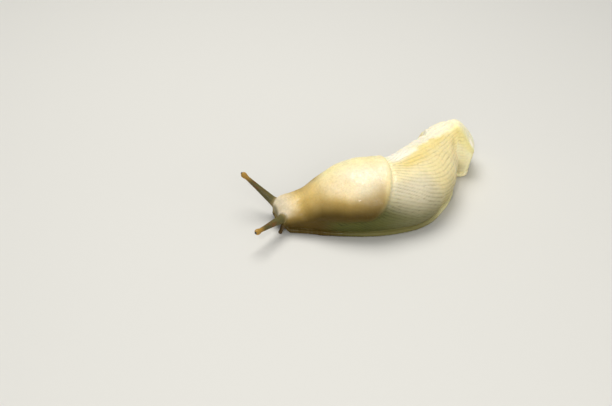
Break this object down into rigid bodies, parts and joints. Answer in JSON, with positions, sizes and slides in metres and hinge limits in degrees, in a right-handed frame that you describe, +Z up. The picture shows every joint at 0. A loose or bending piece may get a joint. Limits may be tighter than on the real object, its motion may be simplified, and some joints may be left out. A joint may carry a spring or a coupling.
{
  "type": "banana slug",
  "caption": "Pale banana slug drawn in and bent to one side, with mantle, keeled and furrowed back, feelers out, resting on its flat sole as a still life-size model.",
  "frame": {"origin": "on the floor, under the middle of the whole model's box", "axes": "-X towards the head, +Y to the slug's right side, +Z up"},
  "size_m": [0.0956, 0.069, 0.0239],
  "materials": {
    "skin": "wet, finely furrowed skin",
    "head": "wet, smooth skin",
    "mantle": "wet, finely grained skin",
    "foot": "wet, smooth skin",
    "tentacle": "wet, half clear skin",
    "tentacle_tip": "wet, half clear skin",
    "eye": "glossy black"
  },
  "bodies": {
    "root": {"head": "head", "neck": "skin", "trunk": "skin", "back": "skin", "tail": "skin", "mantle": "mantle", "foot_front": "foot", "foot_middle": "foot", "foot_back": "foot", "foot_tail": "foot", "optic_tentacle_left": "tentacle", "optic_tentacle_right": "tentacle", "lower_tentacle_left": "tentacle", "lower_tentacle_right": "tentacle", "optic_tip_left": "tentacle_tip", "optic_tip_right": "tentacle_tip", "eye_left": "eye", "eye_right": "eye"}
  },
  "joints": []
}
